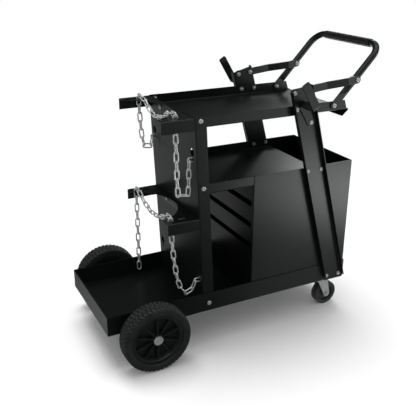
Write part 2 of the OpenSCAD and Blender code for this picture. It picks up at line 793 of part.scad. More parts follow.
upper_slot_x = panel_at(upper_bracket_z) - bracket_l + inner_slot_x;
lower_slot_x = panel_at(lower_bracket_z) - bracket_l + outer_slot_x;
arm_slope = -12;
module upper_chain() {
  color(zinc) placed() {
    loop(upper_slot_x, upper_bracket_z, keyhole_link_z(upper_keyhole_z), far_loop_l);
    near_side() loop(upper_slot_x, upper_bracket_z, keyhole_link_z(upper_keyhole_z), near_loop_l);
    crossing(upper_slot_x, upper_bracket_z, [0, arm_slope]);
  }
}

module lower_chain() {
  color(zinc) placed() {
    near_side() loop(lower_slot_x, lower_bracket_z, keyhole_link_z(lower_keyhole_z), lower_loop_l);
    crossing(lower_slot_x, lower_bracket_z, [0]);
    slot_link(lower_slot_x, lower_bracket_z);
    translate([lower_slot_x, chain_y, lower_bracket_z - slot_link_down])
      links(0, [for (i = [0 : floor(tail_l / (mid_l - inset))]) -90]);
  }
}

// Axle under the bottle platform, and the large wheels on it
axle_clamp_w = 24;
axle_clamp_t = 2.5;
axle_clamp_y = 108;
axle_clamp_l = 50;
hub_face_gap = 3;
hub_in_y = base_y + seat_gap + spacer_l + face_gap;
wheel_out_y = hub_in_y + wheel_w;
hub_out_y = wheel_out_y - hub_face_gap;
washer_d = 24;
washer_t = 2;
spacer_wall = 2;
axle_end_y = hub_out_y + face_gap;

module along_y(x, z, y0, y1, d) translate([x, y0, z]) rotate([-90, 0, 0])
  cylinder(d = d, h = y1 - y0, $fn = fine);

module along_y_ring(x, z, y0, y1, d, bore) difference() {
  along_y(x, z, y0, y1, d);
  along_y(x, z, y0 - cut, y1 + cut, bore);
}

module axle() {
  color(zinc) placed() {
    along_y(axle_x, axle_z, -axle_end_y, axle_end_y, axle_d);
    along_y(axle_x, axle_z, -axle_end_y - washer_t - nut_h - bolt_tip,
            axle_end_y + washer_t + nut_h + bolt_tip, bolt_d);
  }
}

module axle_clamps() {
  saddle_r = axle_d / 2 + axle_clamp_t + seat_gap;
  slot_r = axle_d / 2 + seat_gap;
  color(black) placed() both_sides()
    side_plate(axle_clamp_y + axle_clamp_w / 2, axle_clamp_w) translate([axle_x, axle_z]) difference() {
      union() {
        circle(r = saddle_r, $fn = fine);
        translate([-saddle_r, 0]) square([2 * saddle_r, base_z - axle_z]);
        translate([-axle_clamp_l / 2, base_z - axle_z - axle_clamp_t]) square([axle_clamp_l, axle_clamp_t]);
      }
      circle(r = slot_r, $fn = fine);
      translate([-slot_r, 0]) square([2 * slot_r, base_z]);
    }
}

module axle_spacers() {
  color(zinc) placed() both_sides()
    along_y_ring(axle_x, axle_z, base_y + seat_gap, hub_in_y - face_gap,
                 axle_d + 2 * spacer_wall, axle_d + 2 * seat_gap);
}

module axle_washers() {
  color(zinc) placed() both_sides()
    along_y_ring(axle_x, axle_z, axle_end_y, axle_end_y + washer_t, washer_d, bolt_d + 2 * bolt_gap);
}

module axle_nuts() {
  color(zinc) placed() both_sides()
    translate([axle_x, axle_end_y + washer_t, axle_z]) rotate([-90, 0, 0]) nut();
}

// A wheel is drawn about the Y axis, its outer face at y = 0 and its inner face at -wheel_w
tyre_fillet = 6;
tread_gap = 4;
tread_slant = 32;
module wheel_tyre() {
  wheel_r = wheel_d / 2;
  difference() {
    rotate([90, 0, 0]) rotate_extrude($fn = 2 * fine)
      polygon([[rim_d / 2, tyre_fillet / 2], [rim_d / 2 + tyre_fillet / 2, 0],
               [wheel_r - tyre_fillet, 0], [wheel_r - tyre_fillet / 4, tyre_fillet / 2],
               [wheel_r, tyre_fillet], [wheel_r, wheel_w - tyre_fillet],
               [wheel_r - tyre_fillet / 4, wheel_w - tyre_fillet / 2], [wheel_r - tyre_fillet, wheel_w],
               [rim_d / 2 + tyre_fillet / 2, wheel_w], [rim_d / 2, wheel_w - tyre_fillet / 2]]);
    for (row = [0, 1], i = [1 : tread_count]) rotate([0, (i + row / 2) * 360 / tread_count, 0])
      translate([0, -wheel_w / 2, wheel_r - tread_depth])
        rotate([0, 0, row == 0 ? tread_slant : -tread_slant])
        translate([-tread_gap / 2, row == 0 ? 0 : -wheel_w, 0]) cube([tread_gap, wheel_w, 2 * tread_depth]);
  }
}

bush_wall = 3;
boss_wall = 6;
rim_lip = 4;
rib_t = 4;
dish_share = 0.36;
module wheel_hub() {
  boss_d = axle_d + 2 * bush_wall + 2 * boss_wall;
  dish = wheel_w * dish_share;
  difference() {
    union() {
      rotate([90, 0, 0]) rotate_extrude($fn = 2 * fine)
        polygon([[0, hub_face_gap], [boss_d / 2, hub_face_gap], [boss_d / 2, dish], [recess_d / 2, dish],
                 [recess_d / 2 + rim_lip, rim_lip], [rim_d / 2, rim_lip], [rim_d / 2, wheel_w - rim_lip],
                 [recess_d / 2, wheel_w - rim_lip], [recess_d / 2, wheel_w - dish],
                 [boss_d / 2, wheel_w - dish], [boss_d / 2, wheel_w], [0, wheel_w]]);
      for (i = [1 : rib_count]) rotate([0, i * 360 / rib_count, 0])
        translate([-rib_t / 2, -wheel_w + dish / 2, 0])
          cube([rib_t, wheel_w - dish, recess_d / 2 + rim_lip / 2]);
    }
    along_y(0, 0, -wheel_w - cut, cut, axle_d + 2 * bush_wall);
  }
}

module on_axle() translate([axle_x, wheel_out_y, axle_z]) children();

module wheel_bush()
  along_y_ring(0, 0, -wheel_w, -hub_face_gap, axle_d + 2 * bush_wall, axle_d + 2 * run_gap);

module wheel_tyre_near() color(dark) placed() near_side() on_axle() wheel_tyre();

module wheel_tyre_far() color(dark) placed() on_axle() wheel_tyre();

module wheel_hub_near() color(black) placed() near_side() on_axle() wheel_hub();

module wheel_hub_far() color(black) placed() on_axle() wheel_hub();

module wheel_bush_near() color(zinc) placed() near_side() on_axle() wheel_bush();

module wheel_bush_far() color(zinc) placed() on_axle() wheel_bush();

// Casters, drawn on the far side about their swivel
fork_t = 2.5;
race_h = 9;
fork_top_z = base_z - caster_plate_t - race_h - face_gap;
fork_gap = 2;
fork_w = 34;
fork_end_d = 20;
race_d = 40;
race_top_d = 36;
pin_d = 10;
pin_head_d = 16;
caster_axle_d = 8;
caster_boss_r = 10;
caster_tread_d = 54;
caster_wheel_z = caster_d / 2;

module on_swivel(z) translate([caster_x, caster_y, z]) children();

// Fixed plate with its race and the riveted swivel pin
module caster_plate() {
  difference() {
    union() {
      on_swivel(base_z - caster_plate_t) translate([-caster_plate_l / 2, -caster_plate_w / 2, 0])
        cube([caster_plate_l, caster_plate_w, caster_plate_t]);
      on_swivel(fork_top_z + face_gap) cylinder(d1 = race_d, d2 = race_top_d, h = race_h, $fn = fine);
      on_swivel(fork_top_z - fork_t - face_gap) cylinder(d = pin_d, h = base_z - fork_top_z, $fn = fine);
      on_swivel(fork_top_z - fork_t - face_gap - fork_t)
        cylinder(d = pin_head_d, h = fork_t, $fn = fine);
    }
    caster_holes(caster_plate_t + cut);
  }
}

module caster_fork() {
  leg_y = caster_w / 2 + fork_gap;
  leg_z = fork_top_z - fork_t / 2;
  difference() {
    union() {
      on_swivel(fork_top_z - fork_t) {
        cylinder(d = race_d, h = fork_t, $fn = fine);
        translate([-fork_w / 2, -leg_y - fork_t, 0]) cube([fork_w, 2 * leg_y + 2 * fork_t, fork_t]);
      }
      for (side = [-1, 1]) translate([caster_x, caster_y + side * leg_y + (side > 0 ? fork_t : 0), 0])
        rotate([90, 0, 0]) linear_extrude(fork_t) {
          polygon([[-fork_w / 2, fork_top_z], [fork_w / 2, fork_top_z],
                   [caster_trail + fork_end_d / 2, caster_wheel_z],
                   [caster_trail - fork_end_d / 2, caster_wheel_z]]);
          translate([caster_trail, caster_wheel_z]) circle(d = fork_end_d, $fn = fine);
        }
    }
    on_swivel(0) cylinder(d = pin_d + 2 * run_gap, h = base_z, $fn = fine);
    along_y(caster_x + caster_trail, caster_wheel_z, 0, base_y + caster_y, caster_axle_d + 2 * seat_gap);
  }
}

module on_caster_axle() translate([caster_x + caster_trail, caster_y, caster_wheel_z]) children();

// An outline of radius and depth, closed by its own mirror image below the middle plane
function both_halves(outline) = let(n = len(outline))
  concat(outline, [for (i = [1 : n]) [outline[n - i][0], -outline[n - i][1]]]);

caster_rim_gap = 2;
caster_web_share = 0.33;
caster_tread_r = caster_tread_d / 2;
caster_rim_y = caster_w / 2 - caster_rim_gap;

module caster_tyre() on_caster_axle() rotate([90, 0, 0]) rotate_extrude($fn = 2 * fine)
  polygon(both_halves([[caster_tread_r, caster_rim_y], [caster_d / 2 - caster_rim_gap, caster_w / 2],
                       [caster_d / 2, caster_rim_y]]));

module caster_hub() {
  bore_r = caster_axle_d / 2 + run_gap;
  boss_y = caster_w / 2 + fork_gap - face_gap;
  web_y = caster_w / 2 * caster_web_share;
  rim_r = caster_tread_r - caster_rim_gap;
  on_caster_axle() rotate([90, 0, 0]) rotate_extrude($fn = 2 * fine)
    polygon(both_halves([[bore_r, boss_y], [caster_boss_r, boss_y], [caster_boss_r, web_y],
                         [rim_r, web_y], [rim_r, caster_rim_y], [caster_tread_r, caster_rim_y]]));
}

// Riveted axle: a head outside each leg of the fork
module caster_axle() {
  out = caster_w / 2 + fork_gap + fork_t;
  on_caster_axle() {
    along_y(0, 0, -out, out, caster_axle_d);
    along_y(0, 0, out, out + head_h, head_d);
    along_y(0, 0, -out - head_h, -out, head_d);
  }
}

module caster_plate_near() color(zinc) placed() near_side() caster_plate();

module caster_plate_far() color(zinc) placed() caster_plate();

module caster_fork_near() color(zinc) placed() near_side() caster_fork();

module caster_fork_far() color(zinc) placed() caster_fork();

module caster_tyre_near() color(dark) placed() near_side() caster_tyre();

module caster_tyre_far() color(dark) placed() caster_tyre();

module caster_hub_near() color(dark) placed() near_side() caster_hub();

module caster_hub_far() color(dark) placed() caster_hub();

module caster_axle_near() color(zinc) placed() near_side() caster_axle();

module caster_axle_far() color(zinc) placed() caster_axle();

// Fasteners of the frame
module post_bolts() color(zinc) placed() both_sides() out_bolts(post_places);

module post_nuts() color(zinc) placed() both_sides() out_nuts(post_places);

module channel_bolts() color(zinc) placed() both_sides() out_bolts(channel_places);

module channel_nuts() color(zinc) placed() both_sides() out_nuts(channel_places);

module channel_spacers() {
  color(zinc) placed() both_sides() {
    for (p = [channel_places[2], channel_places[3]])
      along_y_ring(p[0], p[1], skin_y, base_y, head_d, bolt_d + 2 * bolt_gap);
    for (p = [channel_places[4], channel_places[5]])
      along_y_ring(p[0], p[1], half_w, base_y, head_d, bolt_d + 2 * bolt_gap);
  }
}

// The handle's foot bolts, the struts' bolts on the channels and the long bolts through the legs
far_foot = [[handle_x, foot_z, half_w, half_w - rim_y + handle_foot_t]];
near_foot = [[handle_x, foot_z, half_w + handle_foot_t, half_w - rim_y + handle_foot_t]];
leg_grip = handle_d + strut_t;
module leg_bolt_places() {
  for (y = [near_leg_y, far_leg_y]) translate([strut_x1, y + handle_d / 2, strut_z1])
    rotate([90, 0, 0]) children();
}

module handle_bolts() {
  color(zinc) placed() {
    out_bolts(far_foot);
    near_side() out_bolts(near_foot);
    both_sides() out_bolts(strut_places);
    leg_bolt_places() translate([0, 0, leg_grip]) bolt(leg_grip);
  }
}

module handle_nuts() {
  color(zinc) placed() {
    out_nuts(far_foot);
    near_side() out_nuts(near_foot);
    both_sides() out_nuts(strut_places);
    leg_bolt_places() translate([0, 0, -nut_h]) nut();
  }
}

module hook_bolts() color(zinc) placed() both_sides() out_bolts(hook_places);

module hook_nuts() color(zinc) placed() both_sides() out_nuts(hook_places);

bracket_grip = 2 * sheet_t;
module bracket_fastener_places() {
  for (z = [upper_bracket_z, lower_bracket_z]) both_sides()
    translate([panel_at(z - bracket_bolt_drop), bracket_bolt_y, z - bracket_bolt_drop])
      rotate([0, -90 - panel_lean, 0]) children();
}

module bracket_bolts()
  color(zinc) placed() bracket_fastener_places() translate([0, 0, sheet_t]) bolt(bracket_grip);

module bracket_nuts()
  color(zinc) placed() bracket_fastener_places() translate([0, 0, -sheet_t - nut_h]) nut();

caster_grip = base_t + caster_plate_t;
module caster_fastener_places() both_sides() {
  for (p = caster_hole_places) translate([caster_x + p[0], caster_y + p[1], base_floor]) children();
}

module caster_bolts() color(zinc) placed() caster_fastener_places() bolt(caster_grip);

module caster_nuts()
  color(zinc) placed() caster_fastener_places() translate([0, 0, -caster_grip - nut_h]) nut();

base_tray();
rear_panel();
top_tray();
middle_shelf();
box_side_near();
box_side_far();
box_end_wall();
box_slotted_wall();
channel_near();
channel_far();
tank_bracket_upper();
tank_bracket_lower();
handle_tube();
handle_grip();
handle_strut_near();
handle_strut_far();
cable_hook_near();
cable_hook_far();
upper_chain();
lower_chain();
axle();
axle_clamps();
axle_spacers();
axle_washers();
axle_nuts();
wheel_tyre_near();
wheel_hub_near();
wheel_bush_near();
wheel_tyre_far();
wheel_hub_far();
wheel_bush_far();
caster_plate_near();
caster_fork_near();
caster_tyre_near();
caster_hub_near();
caster_axle_near();
caster_plate_far();
caster_fork_far();
caster_tyre_far();
caster_hub_far();
caster_axle_far();
post_bolts();
post_nuts();
channel_bolts();
channel_nuts();
channel_spacers();
handle_bolts();
handle_nuts();
hook_bolts();
hook_nuts();
bracket_bolts();
bracket_nuts();
caster_bolts();
caster_nuts();
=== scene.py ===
# %% [markdown]
# A welding cart is sheet steel, tube and bolts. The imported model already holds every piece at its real
# size, so this notebook gives each piece its finish and adds the small forms that a close look needs:
# rounded sheet edges, screws with sockets, smooth chain links, a block tread, deeper hubs and a ringed
# grip.

import json
import math

import bmesh
import bpy
import numpy as np
from mathutils import Matrix, Vector

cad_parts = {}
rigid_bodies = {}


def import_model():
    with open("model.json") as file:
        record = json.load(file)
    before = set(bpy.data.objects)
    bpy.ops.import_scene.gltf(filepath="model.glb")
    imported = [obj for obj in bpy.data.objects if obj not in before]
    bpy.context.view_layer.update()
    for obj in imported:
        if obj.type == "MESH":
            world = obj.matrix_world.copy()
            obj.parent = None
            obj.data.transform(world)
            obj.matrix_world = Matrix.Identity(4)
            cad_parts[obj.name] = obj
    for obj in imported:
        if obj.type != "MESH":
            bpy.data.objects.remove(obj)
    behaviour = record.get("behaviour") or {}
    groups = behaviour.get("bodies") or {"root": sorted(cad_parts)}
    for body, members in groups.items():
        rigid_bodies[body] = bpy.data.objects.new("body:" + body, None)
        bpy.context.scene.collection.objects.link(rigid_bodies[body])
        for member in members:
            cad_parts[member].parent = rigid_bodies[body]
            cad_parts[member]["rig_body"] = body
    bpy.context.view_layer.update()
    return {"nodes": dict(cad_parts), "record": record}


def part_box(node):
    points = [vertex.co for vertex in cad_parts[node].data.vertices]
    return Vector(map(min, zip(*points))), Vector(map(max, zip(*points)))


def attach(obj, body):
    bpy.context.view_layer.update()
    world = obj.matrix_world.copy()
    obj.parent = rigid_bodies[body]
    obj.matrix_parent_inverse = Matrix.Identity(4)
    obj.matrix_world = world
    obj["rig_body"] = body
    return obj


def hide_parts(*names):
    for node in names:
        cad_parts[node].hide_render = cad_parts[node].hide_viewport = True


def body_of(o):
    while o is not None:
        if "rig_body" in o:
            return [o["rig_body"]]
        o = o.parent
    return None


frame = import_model()
nodes = frame["nodes"]
scene = bpy.context.scene
MM = 0.001

# %% [markdown]
# The photograph was taken from the near left corner and a little above the cart. The camera's place and
# its three angles come from fitting the cart's known corners, with a long lens and no shift.

# %% Camera
CAMERA_PLACE = Vector((-0.7947, -1.4554, 0.9986))
CAMERA_YAW = math.radians(27.197)
CAMERA_PITCH = math.radians(22.341)
CAMERA_ROLL = math.radians(0.302)
LENS_MM = 55.65
SENSOR_MM = 36
CLIP_NEAR, CLIP_FAR = 0.05, 100


def camera_axes(yaw, pitch, roll):
    """Right, up and back of a camera that looks along +Y turned by yaw towards +X and tipped down."""
    level = math.cos(pitch)
    forward = Vector((math.sin(yaw) * level, math.cos(yaw) * level, -math.sin(pitch)))
    right = Vector((math.cos(yaw), -math.sin(yaw), 0))
    up = right.cross(forward)
    rolled_right = right * math.cos(roll) + up * math.sin(roll)
    rolled_up = up * math.cos(roll) - right * math.sin(roll)
    return rolled_right, rolled_up, -forward


camera_data = bpy.data.cameras.new("camera")
camera_data.lens = LENS_MM
camera_data.sensor_width = SENSOR_MM
camera_data.clip_start, camera_data.clip_end = CLIP_NEAR, CLIP_FAR
camera = bpy.data.objects.new("camera", camera_data)
scene.collection.objects.link(camera)
turn = Matrix(camera_axes(CAMERA_YAW, CAMERA_PITCH, CAMERA_ROLL)).transposed()
camera.matrix_world = Matrix.Translation(CAMERA_PLACE) @ turn.to_4x4()
scene.camera = camera
print("camera", camera.location, LENS_MM, "mm")

# %% [markdown]
# The finishes, the floor and the world are trees of shader nodes, and the small forms further down are
# trees of geometry nodes. Written out node by node they would hide what they say, so two helpers come
# first: one reckons with two numbers in either kind of tree, and one turns a value into a level.

# %% Helpers for the trees
def reckon(tree, operation, first, second):
    """A number reckoned from two others, each a socket or a plain number."""
    node = tree.nodes.new("ShaderNodeMath")
    node.operation = operation
    for socket, value in zip(node.inputs, (first, second)):
        if isinstance(value, bpy.types.NodeSocket):
            tree.links.new(value, socket)
        else:
            socket.default_value = value
    return node.outputs[0]


def to_level(tree, value, start, end, low, high, soft=True):
    """A level that goes from low to high while a value goes from start to end, softly or straight."""
    node = tree.nodes.new("ShaderNodeMapRange")
    node.interpolation_type = "SMOOTHSTEP" if soft else "LINEAR"
    for key, number in (("From Min", start), ("From Max", end), ("To Min", low), ("To Max", high)):
        node.inputs[key].default_value = number
    tree.links.new(value, node.inputs["Value"])
    return node.outputs["Result"]


# %% [markdown]
# A real coat is never one even colour. Every finish is a small tree on a Principled shader: a fine
# noise for the grain, a slower one for cloudiness, and a bump. An image would need a map for each piece,
# but a noise on Object coordinates keeps its size on all of them. One function makes the tree, so each
# finish is a few numbers.

# %% A procedural finish
NOISE_LOW, NOISE_HIGH = 0.3, 0.7


def add_noise(tree, coords, per_metre, detail, rough=0.5):
    """A noise over Object coordinates, with about per_metre grains in a metre."""
    noise = tree.nodes.new("ShaderNodeTexNoise")
    noise.inputs["Scale"].default_value = per_metre
    noise.inputs["Detail"].default_value = detail
    noise.inputs["Roughness"].default_value = rough
    tree.links.new(coords, noise.inputs["Vector"])
    return noise.outputs["Fac"]


def add_mix(tree, value, first, second):
    """A colour between two colours."""
    mix = tree.nodes.new("ShaderNodeMix")
    mix.data_type = "RGBA"
    share, start, end = mix.inputs[0], mix.inputs[6], mix.inputs[7]
    start.default_value = (*first, 1)
    end.default_value = (*second, 1)
    tree.links.new(value, share)
    return mix.outputs[2]


def finish(name, dark, light, rough, grain, bump_mm, cloud, metallic=0.0):
    """A finish: two colours that clouds mix, a range of roughness, and a grain with its bump height."""
    material = bpy.data.materials.new(name)
    material.use_nodes = True
    tree = material.node_tree
    shader = tree.nodes["Principled BSDF"]
    coords = tree.nodes.new("ShaderNodeTexCoord").outputs["Object"]
    slow = add_noise(tree, coords, cloud, detail=4, rough=0.6)
    clouds = to_level(tree, slow, NOISE_LOW, NOISE_HIGH, 0, 1, soft=False)
    tree.links.new(add_mix(tree, clouds, dark, light), shader.inputs["Base Color"])
    fine = add_noise(tree, coords, grain, detail=3)
    roughness = to_level(tree, fine, NOISE_LOW, NOISE_HIGH, *rough, soft=False)
    tree.links.new(roughness, shader.inputs["Roughness"])
    bump = tree.nodes.new("ShaderNodeBump")
    bump.inputs["Strength"].default_value = 1
    bump.inputs["Distance"].default_value = bump_mm * MM
    tree.links.new(fine, bump.inputs["Height"])
    tree.links.new(bump.outputs["Normal"], shader.inputs["Normal"])
    shader.inputs["Metallic"].default_value = metallic
    return material


# %% [markdown]
# The sheet is powder coated: black, satin, with the pebbled skin that the powder leaves as it melts.
# Its pebbles are under a millimetre across, and its shine has a trace of green. The fasteners and the
# chains are bright zinc: partly metal and partly a pale, dull film. The rubber of the tyres and of the
# grip and the plastic of the wheels are blacks of their own.

# %% The finishes
COAT_TINT = (0.94, 1.0, 0.985, 1)
powder_coat = finish("black_powder_coat", (0.0028, 0.0035, 0.0035), (0.0042, 0.0052, 0.0052),
                     rough=(0.24, 0.38), grain=1500, bump_mm=0.06, cloud=5)
powder_coat.node_tree.nodes["Principled BSDF"].inputs["Specular Tint"].default_value = COAT_TINT
bright_zinc = finish("bright_zinc", (0.40, 0.41, 0.42), (0.56, 0.57, 0.57),
                     rough=(0.22, 0.40), grain=700, bump_mm=0.02, cloud=60, metallic=0.6)
chain_zinc = finish("chain_zinc", (0.74, 0.76, 0.77), (0.92, 0.93, 0.93),
                    rough=(0.14, 0.28), grain=900, bump_mm=0.02, cloud=80, metallic=0.7)
tyre_rubber = finish("tyre_rubber", (0.006, 0.0078, 0.008), (0.014, 0.017, 0.0175),
                     rough=(0.42, 0.62), grain=900, bump_mm=0.06, cloud=30)
wheel_plastic = finish("wheel_plastic", (0.005, 0.006, 0.006), (0.009, 0.010, 0.010),
                       rough=(0.38, 0.52), grain=1200, bump_mm=0.03, cloud=20)
caster_rubber = finish("caster_rubber", (0.014, 0.014, 0.015), (0.026, 0.026, 0.027),
                       rough=(0.55, 0.75), grain=900, bump_mm=0.04, cloud=30)
caster_plastic = finish("caster_plastic", (0.02, 0.021, 0.022), (0.032, 0.033, 0.034),
                        rough=(0.4, 0.55), grain=1200, bump_mm=0.03, cloud=20)
grip_rubber = finish("grip_rubber", (0.004, 0.0042, 0.0043), (0.007, 0.0075, 0.0075),
                     rough=(0.36, 0.5), grain=1100, bump_mm=0.04, cloud=30)
FINISHES = {
    "black_powder_coat": powder_coat,
    "plated_steel": bright_zinc,
    "fastener_zinc": bright_zinc,
    "chain_zinc": chain_zinc,
    "tyre_rubber": tyre_rubber,
    "hub_plastic": wheel_plastic,
    "caster_rubber": caster_rubber,
    "caster_plastic": caster_plastic,
    "grip_rubber": grip_rubber,
}
slot_of = {row["node"]: row["material_slot"] for row in frame["record"]["subparts"]}
for name, piece in nodes.items():
    piece.data.materials.clear()
    piece.data.materials.append(FINISHES[slot_of[name]])
print("finished", len(slot_of), "nodes")

# %% [markdown]
# Cut and folded sheet never has a razor edge: the powder rounds it. A bevel in the material would round
# only the shading. So each tray, panel, channel, bracket, strut and hook is shown by a copy of its solid
# whose triangles are joined again and whose edges get a narrow bevel. The solid stays in place for
# collision.

# %% Rounded edges for the sheet pieces
MERGE = 0.01 * MM
FLAT = math.radians(1)
CORNER = math.radians(35)
SHEET_EDGE_MM = 0.4
EDGE_STEPS = 2


def joined_copy(node, name):
    """A copy of a node's solid with its triangles joined and its flat faces made whole."""
    mesh = nodes[node].data.copy()
    copy = bpy.data.objects.new(name, mesh)
    scene.collection.objects.link(copy)
    work = bmesh.new()
    work.from_mesh(mesh)
    bmesh.ops.remove_doubles(work, verts=work.verts, dist=MERGE)
    bmesh.ops.dissolve_limit(work, angle_limit=FLAT, verts=work.verts, edges=work.edges,
                             delimit={"NORMAL"})
    work.to_mesh(mesh)
    work.free()
    return copy


def frozen(piece):
    """Applies a piece's modifiers, so that its mesh is its final shape."""
    graph = bpy.context.evaluated_depsgraph_get()
    mesh = bpy.data.meshes.new_from_object(piece.evaluated_get(graph))
    piece.modifiers.clear()
    piece.data = mesh
    return piece


def rounded(node, width_mm, reshape=None):
    """Shows a node by a copy of it with rounded edges, after a change to its vertices if one is given."""
    piece = joined_copy(node, node + "_rounded")
    if reshape:
        reshape(piece.data)
    bevel = piece.modifiers.new("edges", "BEVEL")
    bevel.width = width_mm * MM
    bevel.segments = EDGE_STEPS
    bevel.limit_method = "ANGLE"
    bevel.angle_limit = CORNER
    bevel.use_clamp_overlap = True
    bevel.harden_normals = True
    frozen(piece)
    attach(piece, body_of(nodes[node])[0])
    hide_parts(node)
    return piece


SHEET_NODES = ("base_tray", "rear_panel", "top_tray", "middle_shelf", "box_side_near", "box_side_far",
               "box_end_wall", "box_slotted_wall", "channel_near", "channel_far", "tank_bracket_upper",
               "tank_bracket_lower", "handle_strut_near", "handle_strut_far", "cable_hook_near",
               "cable_hook_far")
for node in SHEET_NODES:
    piece = rounded(node, SHEET_EDGE_MM)
    print(piece.name, len(piece.data.polygons))

# %% [markdown]
# Links, screws and the grip's rings are the same small form many times over. Geometry Nodes put one form
# on many points: each point carries the two directions that turn its copy. The points of the links and
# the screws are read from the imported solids, so every copy sits where its solid does.

# %% Solids of a node, and points for the copies
def solids_of(node):
    """The vertices of each separate solid in a node, one array for each."""
    work = bmesh.new()
    work.from_mesh(nodes[node].data)
    bmesh.ops.remove_doubles(work, verts=work.verts, dist=MERGE)
    seen = set()
    groups = []
    for start in work.verts:
        if start in seen:
            continue
        seen.add(start)
        group, queue = [], [start]
        while queue:
            vert = queue.pop()
            group.append(vert.co[:])
            for edge in vert.link_edges:
                other = edge.other_vert(vert)
                if other not in seen:
                    seen.add(other)
                    queue.append(other)
        groups.append(np.array(group))
    work.free()
    return groups


def point_cloud(name, places, **attributes):
    """A mesh of bare points, each with its own vectors and numbers."""
    mesh = bpy.data.meshes.new(name)
    mesh.from_pydata([tuple(place) for place in places], [], [])
    for key, values in attributes.items():
        values = np.array(values, np.float32)
        kind, field = ("FLOAT_VECTOR", "vector") if values.ndim == 2 else ("FLOAT", "value")
        mesh.attributes.new(key, kind, "POINT").data.foreach_set(field, values.ravel())
    cloud = bpy.data.objects.new(name, mesh)
    scene.collection.objects.link(cloud)
    return cloud


# %% Helpers for a tree of geometry nodes
def new_tree(name, sizes):
    """A geometry tree with a geometry input and output, and a named number input for each size."""
    tree = bpy.data.node_groups.new(name, "GeometryNodeTree")
    tree.interface.new_socket("Geometry", in_out="INPUT", socket_type="NodeSocketGeometry")
    for size in sizes:
        tree.interface.new_socket(size, in_out="INPUT", socket_type="NodeSocketFloat")
    tree.interface.new_socket("Geometry", in_out="OUTPUT", socket_type="NodeSocketGeometry")
    return tree, tree.nodes.new("NodeGroupInput"), tree.nodes.new("NodeGroupOutput")


def add(tree, kind, settings=None, **links):
    """A node with its settings, and links or values for its inputs, named with _ for a blank."""
    node = tree.nodes.new(kind)
    for key, value in (settings or {}).items():
        setattr(node, key, value)
    for key, value in links.items():
        socket = node.inputs[key.replace("_", " ")]
        if isinstance(value, bpy.types.NodeSocket):
            tree.links.new(value, socket)
        else:
            socket.default_value = value
    return node


def vector_of(tree, name):
    """A vector that each point carries."""
    node = add(tree, "GeometryNodeInputNamedAttribute", {"data_type": "FLOAT_VECTOR"}, Name=name)
    return node.outputs[0]


def turned(tree):
    """The rotation that lays Z along a point's "along" and X along its "across"."""
    return add(tree, "FunctionNodeAxesToRotation", {"primary_axis": "Z", "secondary_axis": "X"},
               Primary_Axis=vector_of(tree, "along"), Secondary_Axis=vector_of(tree, "across")).outputs[0]


def end_tree(tree, geometry, output, material):
    """Real mesh with its material, as the export needs."""
    real = add(tree, "GeometryNodeRealizeInstances", Geometry=geometry).outputs[0]
    smooth = add(tree, "GeometryNodeSetShadeSmooth", Geometry=real).outputs[0]
    painted = add(tree, "GeometryNodeSetMaterial", Geometry=smooth, Material=material).outputs[0]
    tree.links.new(painted, output.inputs[0])


def grown(holder, tree, sizes):
    """Runs a tree on an object with its sizes set, and keeps the result as a plain mesh."""
    modifier = holder.modifiers.new(tree.name, "NODES")
    modifier.node_group = tree
    for item in tree.interface.items_tree:
        if item.in_out == "INPUT" and item.name in sizes:
            modifier[item.identifier] = sizes[item.name]
    return frozen(holder)


# %% [markdown]
# A chain link is a wire bent into a long loop. The tree below rounds a rectangle into that loop, sweeps
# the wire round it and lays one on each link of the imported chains. Each link's own spread gives its
# long, wide and thin directions.

# %% Chain links
def spread(points):
    """Centre, directions from the widest to the thinnest, and the lengths along them."""
    directions = np.linalg.svd(points - points.mean(0), full_matrices=False)[2]
    reach = (points - points.mean(0)) @ directions.T
    centre = points.mean(0) + ((reach.max(0) + reach.min(0)) / 2) @ directions
    return centre, directions, reach.max(0) - reach.min(0)


BEND_SHARE = 0.4995
BEND_POINTS = 8
WIRE_SIDES = 14
link_tree, given, result = new_tree("links", ("Link Length", "Link Width", "Wire"))
thick = given.outputs["Wire"]
wire_length = reckon(link_tree, "SUBTRACT", given.outputs["Link Length"], thick)
wire_width = reckon(link_tree, "SUBTRACT", given.outputs["Link Width"], thick)
bend_radius = reckon(link_tree, "MULTIPLY", wire_width, BEND_SHARE)
outline = add(link_tree, "GeometryNodeCurvePrimitiveQuadrilateral", Width=wire_width, Height=wire_length)
loop = add(link_tree, "GeometryNodeFilletCurve", {"mode": "POLY"}, Curve=outline.outputs[0],
           Count=BEND_POINTS, Radius=bend_radius)
wire_radius = reckon(link_tree, "MULTIPLY", thick, 0.5)
section = add(link_tree, "GeometryNodeCurvePrimitiveCircle", Resolution=WIRE_SIDES, Radius=wire_radius)
wire = add(link_tree, "GeometryNodeCurveToMesh", Curve=loop.outputs[0], Profile_Curve=section.outputs[0])
upright = add(link_tree, "GeometryNodeTransform", Geometry=wire.outputs[0],
              Rotation=(math.pi / 2, 0, 0))
links = add(link_tree, "GeometryNodeInstanceOnPoints", Points=given.outputs["Geometry"],
            Instance=upright.outputs[0], Rotation=turned(link_tree))
end_tree(link_tree, links.outputs[0], result, chain_zinc)

for node in ("upper_chain", "lower_chain"):
    spreads = [spread(points) for points in solids_of(node)]
    sizes = np.median([row[2] for row in spreads], axis=0)
    holder = point_cloud(node + "_links", [row[0] for row in spreads],
                         along=[row[1][0] for row in spreads], across=[row[1][1] for row in spreads])
    piece = grown(holder, link_tree,
                  {"Link Length": sizes[0], "Link Width": sizes[1], "Wire": sizes[2]})
    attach(piece, "frame")
    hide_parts(node)
    print(node, len(spreads), "links of", sizes / MM, "mm")

# %% [markdown]
# The cart's screws are button heads with a hexagon socket. A socket could be cut with a Boolean, but a
# turned profile whose inner rings change from a circle to a hexagon gives clean faces at once. The shank
# is a plain cylinder, stretched to each screw's length.

